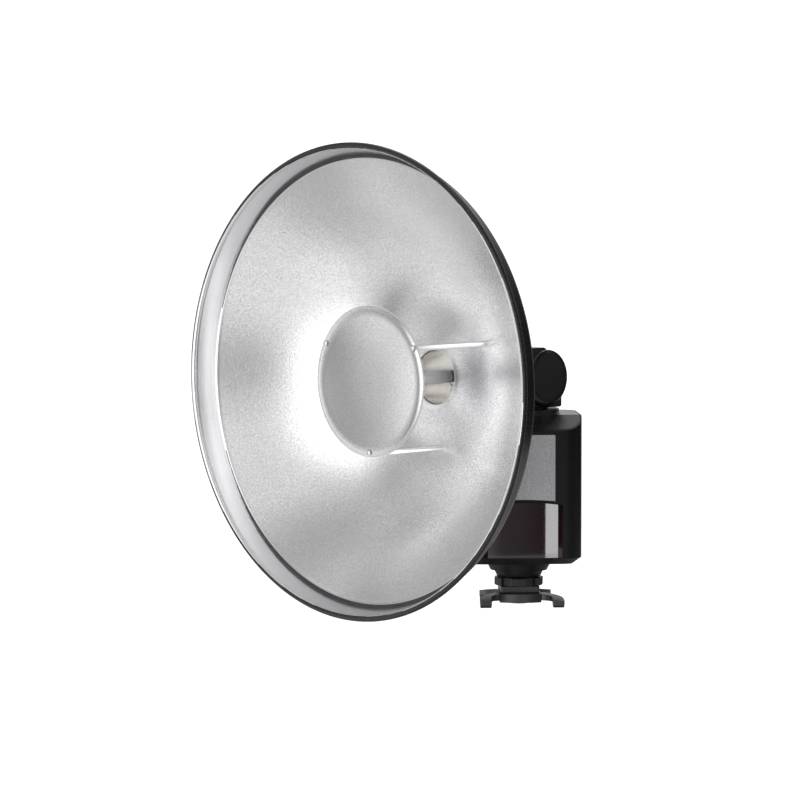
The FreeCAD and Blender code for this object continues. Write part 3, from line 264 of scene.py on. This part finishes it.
DISH_IN = silver("dish_silver", (.93, .93, .935), .225, 1150.0, 2600.0, .00008, .50, dark=.70)
DISH_BAND = finish_mat("dish_band", (.76, .76, .77), (.79, .79, .80), .26, metal=.96, rvar=.012, grain=900, dist=.000004, strength=.06, blotch=40)
DEFL_EDGE = silver("deflector_edge", (.66, .66, .67), .24, 1300.0, 2700.0, .00004, .4, dark=.78)
DEFL_IN = silver("deflector_silver", (.78, .78, .79), .21, 1300.0, 2700.0, .00005, .4, dark=.74)
M["deflector_silver"] = DEFL_IN
DISH_BLACK = finish_mat("dish_black", (.008, .008, .0088), (.012, .012, .013), .30, grain=750, dist=.00002, strength=.15)
DISH_BEAD = finish_mat("dish_bead", (.012, .012, .013), (.018, .018, .0195), .27, grain=650, dist=.00002, strength=.2)
# dark grey for the groove: painted shade standing in for the shade that falls in it
DISH_GROOVE_SHADE = finish_mat("dish_groove_shade", (.050, .050, .053), (.072, .072, .076), .46, grain=900, dist=.00002, strength=.2)
M["dish_silver"] = DISH_IN

# every CAD node takes its slot's finish
slots = {s["node"]: s["material_slot"] for s in frame["record"]["subparts"]}
for name, ob in NODES.items():
    m = M[slots[name]]
    ob.data.materials.clear()
    ob.data.materials.append(m)


# ------------------------------------------------------------------ lathe pieces on the lamp axis
def cubic(pts, n):
    """Natural cubic through the points, by chord length."""
    P = np.array(pts, float)
    s = np.concatenate([[0], np.cumsum(np.hypot(*np.diff(P, axis=0).T))])
    k = len(P)
    A = np.zeros((k, k)); rhs = np.zeros((k, 2)); h = np.diff(s)
    A[0, 0] = A[-1, -1] = 1
    for i in range(1, k - 1):
        A[i, i - 1], A[i, i], A[i, i + 1] = h[i - 1], 2 * (h[i - 1] + h[i]), h[i]
        rhs[i] = 6 * ((P[i + 1] - P[i]) / h[i] - (P[i] - P[i - 1]) / h[i - 1])
    Q = np.linalg.solve(A, rhs)
    out = []
    for u in np.linspace(0, s[-1], n):
        i = min(int(np.searchsorted(s, u, "right")) - 1, k - 2)
        a, b = s[i + 1] - u, u - s[i]
        out.append(Q[i] * a ** 3 / (6 * h[i]) + Q[i + 1] * b ** 3 / (6 * h[i])
                   + (P[i] / h[i] - Q[i] * h[i] / 6) * a + (P[i + 1] / h[i] - Q[i + 1] * h[i] / 6) * b)
    return [tuple(p) for p in out]


def lathe(name, prof, mats, seg=288, closed=True):
    """prof is [(r, t, material index of the strip that follows, or a function of the angle)]."""
    verts, faces, fm = [], [], []
    n = len(prof)
    rows = []
    for r, t, _ in prof:
        if r < 1e-6:
            rows.append([len(verts)] * seg)
            verts.append(hp(0, t, 0))
        else:
            rows.append(list(range(len(verts), len(verts) + seg)))
            verts += [hp(r, t, 2 * math.pi * k / seg) for k in range(seg)]
    for i in range(n if closed else n - 1):
        j = (i + 1) % n
        for k in range(seg):
            q = (k + 1) % seg
            f = [rows[i][k], rows[i][q], rows[j][q], rows[j][k]]
            g = []
            for v in f:
                if v not in g:
                    g.append(v)
            if len(g) > 2:
                faces.append(g)
                mi = prof[i][2]
                fm.append(mi(2 * math.pi * (k + .5) / seg) if callable(mi) else mi)
    me = bpy.data.meshes.new(name)
    me.from_pydata([tuple(v) for v in verts], [], faces)
    for m in mats:
        me.materials.append(m)
    me.polygons.foreach_set("material_index", fm)
    me.polygons.foreach_set("use_smooth", [True] * len(faces))
    me.update()
    import bmesh
    bm = bmesh.new(); bm.from_mesh(me)
    bmesh.ops.recalc_face_normals(bm, faces=bm.faces)
    bm.to_mesh(me); bm.free()
    me.set_sharp_from_angle(angle=math.radians(34))
    ob = bpy.data.objects.new(name, me)
    scene.collection.objects.link(ob)
    return ob


# ---- the bowl
D = 151.4
inner = [(17.25, D - 74.3), (30.0, D - 75.6), (45.0, D - 76.9), (57.0, D - 75.4), (71.5, D - 70.5), (88.0, D - 62.0),
         (104.0, D - 50.0), (118.6, D - 36.0), (130.0, D - 24.0), (139.2, D - 14.2)]
ci = cubic(inner, 90)
co = []
for i, (r, t) in enumerate(ci):
    a, b = ci[max(i - 1, 0)], ci[min(i + 1, len(ci) - 1)]
    tr, tt = b[0] - a[0], b[1] - a[1]
    L = math.hypot(tr, tt)
    co.append((r + tt / L, t - tr / L))
co[0] = (17.25, ci[0][1] - 1.0)
# turned lip round the lamp's hole
lt = ci[0][1]
prof = [(17.05, lt - .6, 2), (17.1, lt - .1, 2), (17.4, lt + .32, 2), (17.85, lt + .4, 2), (18.5, lt + .12, 2)]
prof += [(r, t, 0) for r, t in ci[:-1] if r > 19]
r0, t0 = ci[-1]


def bead_paint_and_shade_edge(deg):
    """The bead is painted black on its outer side; the black reaching further in at the top and bottom than at its
    sides is painted shade.
    """
    def at(theta):
        c = math.cos(theta)
        wander = 3.0 * math.sin(7 * theta + 1.0) + 2.0 * math.sin(17 * theta)
        return 2 if deg > 148 - (76 if c > 0 else 58) * abs(c) ** 1.3 + wander else 3
    return at



def groove(f):
    """The groove is coloured dark grey as painted shade, except on the side away from the body, where it is silver;
    the boundary tapers across the groove.
    """
    def at(theta):
        return 1 if math.cos(theta) < -.62 - .33 * f + .02 * math.sin(11 * theta) else 5
    return at


# eased crest, groove behind it coloured dark as painted shade except on the side away from the body, satin band and
# the rolled bead: silver up to its crown at the sides and black beyond, the black reaching further in at the top and
# bottom as painted shade
prof += [(r0, t0, 1), (139.5, t0 + .42, 1), (139.85, t0 + .62, 1)]
prof += [(140.2 + 1.75 * k / 8, t0 + .5 - 1.6 * k / 8, groove(k / 8)) for k in range(9)]
prof += [(142.3, t0 - .9, 2), (142.6, t0 + .1, 2)]
for k in range(1, 15):
    f = k / 15
    prof.append((142.6 + (146.2 - 142.6) * f - .22 * math.sin(math.pi * f), t0 + .2 + (149.15 - t0 - .2) * f, 2))
prof += [(146.2, 149.15, 2), (146.35, 149.4, 2)]
for k in range(1, 34):
    a = math.radians(197.5 - k * (197.5 + 104) / 34)
    prof.append((148.0 + 2.0 * math.cos(a), 150.0 + 2.0 * math.sin(a), bead_paint_and_shade_edge(math.degrees(a))))
prof += [(147.6, 148.05, 4), (144.0, t0 + .6, 4), (143.4, t0 - 1.3, 4), (142.4, t0 - 2.2, 4), (140.6, t0 - 2.1, 4)]
prof += [(r, t, 4) for r, t in reversed(co) if r < 139.4]
dish = lathe("bowl", prof, [DISH_IN, DISH_BAND, DISH_BAND, DISH_BEAD, DISH_BLACK, DISH_GROOVE_SHADE], seg=360)
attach(dish, "dish")
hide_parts("beauty_dish")

# ---- the deflector
T = 136.3
face = cubic([(0.0, T - 3.4), (12.0, T - 3.15), (24.0, T - 2.35), (34.0, T - 1.15), (39.5, T - .36), (42.0, T - .05), (44.0, T - .08), (45.8, T - .42), (47.1, T - .95)], 56)
p = [(r, t, 0) for r, t in face]
p[0] = (0.0, T - 3.4, 0)
p += [(47.4, T - 1.0, 1), (47.65, T - .95, 1), (47.8, T - 1.15, 1), (47.8, T - 1.5, 1), (47.6, T - 1.75, 0),
      (47.1, T - 1.75, 0)]
p += [(r, t - .8, 0) for r, t in reversed(face[:-1])]
p[-1] = (0.0, T - 4.2, 0)
defl = lathe("deflector", p, [DEFL_IN, DISH_BAND, DEFL_EDGE], seg=240, closed=False)
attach(defl, "dish")
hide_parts("deflector_plate")

# ---- bush where the trigger lead passes through the well's floor
bm_v, bm_f = [], []
for t in (56.7, 57.5):
    for k in range(24):
        a = 2 * math.pi * k / 24
        bm_v.append(tuple((N * t + E * (-8.0 + 2.9 * math.cos(a)) + U * (-7.4 + 2.9 * math.sin(a))) * .001 + U * LA))
bm_f.append(list(range(24))[::-1]); bm_f.append(list(range(24, 48)))
for k in range(24):
    q = (k + 1) % 24
    bm_f.append([k, q, 24 + q, 24 + k])
me = bpy.data.meshes.new("lead_bush")
me.from_pydata(bm_v, [], bm_f)
me.materials.append(M["well_mirror"])
me.update()
bush = bpy.data.objects.new("lead_bush", me)
scene.collection.objects.link(bush)
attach(bush, "head")

# ---- the lamp's clear tube
gl = [(4.2, 70.1, 0), (4.2, 104.0, 0)]
for r, t in ((4.12, 105.2), (3.9, 106.4), (3.5, 107.3), (3.0, 108.0), (2.35, 108.6), (1.6, 109.0), (.8, 109.22)):
    gl.append((r, t, 0))
gl.append((0.0, 109.3, 0))
gi = [(0.0, 108.5, 0), (.7, 108.42, 0), (1.4, 108.2, 0), (2.0, 107.85, 0), (2.5, 107.4, 0), (3.2, 106.0, 0), (3.45, 104.0, 0), (3.45, 70.1, 0)]
tube = lathe("lamp_tube", gl + gi, [M["lamp_glass"]], seg=96, closed=True)
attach(tube, "lamp")
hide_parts("tube_glass")

# ------------------------------------------------------------------ printed marks on the rear controls
LCD_INK = finish_mat("lcd_ink", (.40, .48, .46), (.46, .54, .52), .5, grain=1500, dist=.000005, strength=.05)
PRINT = finish_mat("key_print", (.50, .50, .50), (.58, .58, .58), .5, grain=1500, dist=.000005, strength=.05)


def bar(u0, z0, u1, z1):
    return [(u0, z0), (u1, z0), (u1, z1), (u0, z1)]


def marks(name, body, y, shapes, m):
    """Thin prints on a face looking to +Y. Shapes are in mm, u to the right as seen from behind."""
    verts, faces = [], []
    for sh in shapes:
        b0, k = len(verts), len(sh)
        for d in (-.05, .06):
            verts += [(-u * .001, (y + d) * .001, z * .001) for u, z in sh]
        faces.append([b0 + i for i in range(k)][::-1])
        faces.append([b0 + k + i for i in range(k)])
        for i in range(k):
            j = (i + 1) % k
            faces.append([b0 + i, b0 + j, b0 + k + j, b0 + k + i])
    me = bpy.data.meshes.new(name)
    me.from_pydata(verts, [], faces)
    import bmesh
    bm = bmesh.new(); bm.from_mesh(me)
    bmesh.ops.recalc_face_normals(bm, faces=bm.faces)
    bm.to_mesh(me); bm.free()
    me.materials.append(m)
    ob = bpy.data.objects.new(name, me)
    scene.collection.objects.link(ob)
    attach(ob, body)
    return ob


def digit(n, u, z, w_=6.4, h=12.0, t=1.2):
    """Seven bars, of which the digit n uses some."""
    seg = {"a": bar(u + t, z + h - t, u + w_ - t, z + h), "d": bar(u + t, z, u + w_ - t, z + t),
           "g": bar(u + t, z + h / 2 - t / 2, u + w_ - t, z + h / 2 + t / 2),
           "f": bar(u, z + h / 2 + .3, u + t, z + h - .3), "e": bar(u, z + .3, u + t, z + h / 2 - .3),
           "b": bar(u + w_ - t, z + h / 2 + .3, u + w_, z + h - .3), "c": bar(u + w_ - t, z + .3, u + w_, z + h / 2 - .3)}
    return [seg[k] for k in {5: "afgcd", 6: "afgecd"}[n]]


lcd = digit(5, -10.5, 91.5) + [bar(-2.4, 91.5, -1.0, 92.9)] + digit(6, .8, 91.5)
lcd += [bar(11.5, 106.2, 18.5, 106.7), bar(11.5, 109.6, 18.5, 110.1), bar(11.5, 106.7, 12.0, 109.6), bar(18.0, 106.7, 18.5, 109.6),
        bar(18.5, 107.4, 19.2, 108.9), bar(12.6, 107.2, 14.0, 109.1), bar(14.5, 107.2, 15.9, 109.1)]
lcd += [bar(-20, 104.2, 20, 104.5), bar(-20, 89.2, 20, 89.5)]
lcd += [bar(-18 + 4.4 * i, 84.5, -17.3 + 4.4 * i, 86.4 + (1.1 if i % 4 == 0 else 0)) for i in range(9)]
marks("lcd_marks", "flash_body", 30.9, lcd, LCD_INK)
for i in range(4):
    c = 18.6 - 12.4 * i
    marks("menu_mark_%d" % (i + 1), "menu_key_%d" % (i + 1), 31.9, [bar(c - 2.2, 73.3, c + 2.2, 73.9)], PRINT)
marks("mode_mark", "mode_key", 31.9, [bar(24.8, 55.8, 28.2, 56.3), bar(24.8, 58.7, 28.2, 59.2), bar(24.8, 56.3, 25.3, 58.7),
                                      bar(27.7, 56.3, 28.2, 58.7)], PRINT)
marks("test_mark", "test_key", 31.9, [[(-26.2, 59.6), (-27.6, 57.3), (-26.5, 57.3)], [(-26.9, 55.4), (-25.4, 57.7), (-26.5, 57.7)]], PRINT)
marks("sync_mark", "sync_key", 31.9, [[(25.6, 42.1), (28.1, 43.5), (25.6, 44.9)]], PRINT)
marks("dial_marks", "control_dial", 33.4,
      [[(math.cos(a) * 12.4, 50.5 + math.sin(a) * 12.4), (math.cos(a + .11) * 10.9, 50.5 + math.sin(a + .11) * 10.9),
        (math.cos(a - .11) * 10.9, 50.5 + math.sin(a - .11) * 10.9)] for a in (0, math.pi / 2, math.pi, 3 * math.pi / 2)], PRINT)

# ------------------------------------------------------------------ floor, light, camera
me = bpy.data.meshes.new("floor")
me.from_pydata([(-.42, -.36, -.0004), (.34, -.36, -.0004), (.34, .6, -.0004), (-.42, .6, -.0004)], [], [(0, 1, 2, 3)])
floor = bpy.data.objects.new("floor", me)
scene.collection.objects.link(floor)
fm, nt, b = mat("floor_white")
b.inputs["Base Color"].default_value = (.80, .80, .80, 1)
b.inputs["Roughness"].default_value = .9
b.inputs["Specular IOR Level"].default_value = .1
b.inputs["Alpha"].default_value = .3
b.inputs["Emission Color"].default_value = (1, 1, 1, 1)
b.inputs["Emission Strength"].default_value = FLOOR_GLOW
me.materials.append(fm)

# the room: white behind the object, soft light from the left, dark beside the camera
w = bpy.data.worlds.new("studio")
scene.world = w
w.use_nodes = True
nt = w.node_tree
bg = nt.nodes["Background"]
bg.inputs["Color"].default_value = (1, 1, 1, 1)
bg.inputs["Strength"].default_value = 1.3
direction = new(nt, "ShaderNodeTexCoord").outputs["Generated"]
total = None
for az, el, inner_deg, outer_deg, level in ROOM:
    a_, e_ = math.radians(az), math.radians(el)
    dp = new(nt, "ShaderNodeVectorMath", operation="DOT_PRODUCT")
    nt.links.new(direction, dp.inputs[0])
    dp.inputs[1].default_value = (math.sin(a_) * math.cos(e_), -math.cos(a_) * math.cos(e_), math.sin(e_))
    r = new(nt, "ShaderNodeMapRange", interpolation_type="SMOOTHSTEP")
    r.inputs["From Min"].default_value = math.cos(math.radians(outer_deg))
    r.inputs["From Max"].default_value = math.cos(math.radians(inner_deg))
    r.inputs["To Min"].default_value = 0.0
    r.inputs["To Max"].default_value = level
    nt.links.new(dp.outputs["Value"], r.inputs["Value"])
    if total is None:
        total = r.outputs["Result"]
    else:
        ad = new(nt, "ShaderNodeMath", operation="ADD")
        nt.links.new(total, ad.inputs[0]); nt.links.new(r.outputs["Result"], ad.inputs[1])
        total = ad.outputs[0]
ad = new(nt, "ShaderNodeMath", operation="ADD")
nt.links.new(total, ad.inputs[0]); ad.inputs[1].default_value = ROOM_BASE
dim = new(nt, "ShaderNodeBackground")
dim.inputs["Color"].default_value = (1, 1, 1, 1)
nt.links.new(ad.outputs[0], dim.inputs["Strength"])
lp = new(nt, "ShaderNodeLightPath")
mx = new(nt, "ShaderNodeMixShader")
nt.links.new(lp.outputs["Is Camera Ray"], mx.inputs[0])
nt.links.new(dim.outputs[0], mx.inputs[1])
nt.links.new(bg.outputs[0], mx.inputs[2])
nt.links.new(mx.outputs[0], nt.nodes["World Output"].inputs["Surface"])


def softbox(name, az, el, dist, w_, h_, level, target=(-.06, -.06, .15)):
    """A rectangular light of brightness level, at azimuth az from the front (-Y) towards +X."""
    a, e = math.radians(az), math.radians(el)
    d = Vector((math.sin(a) * math.cos(e), -math.cos(a) * math.cos(e), math.sin(e)))
    L = bpy.data.lights.new(name, "AREA")
    L.shape = "RECTANGLE"
    L.size, L.size_y = w_, h_
    L.energy = level * math.pi * w_ * h_
    ob = bpy.data.objects.new(name, L)
    scene.collection.objects.link(ob)
    ob.location = Vector(target) + d * dist
    ob.rotation_euler = (-d).to_track_quat("-Z", "Y").to_euler()
    ob.visible_camera = False
    return ob


for box_ in BOXES:
    softbox(*box_)

cam = bpy.data.cameras.new("camera")
cam.sensor_width = 36.0
cam.lens = 202.5
cam.clip_start = .05
cam.clip_end = 60.0
co_ = bpy.data.objects.new("camera", cam)
scene.collection.objects.link(co_)
co_.location = (-.2513, -2.9027, .3362)
co_.rotation_euler = (math.radians(90 - 4.01), 0, math.radians(-3.43))
scene.camera = co_
scene.view_settings.view_transform = "Standard"
scene.view_settings.look = "None"
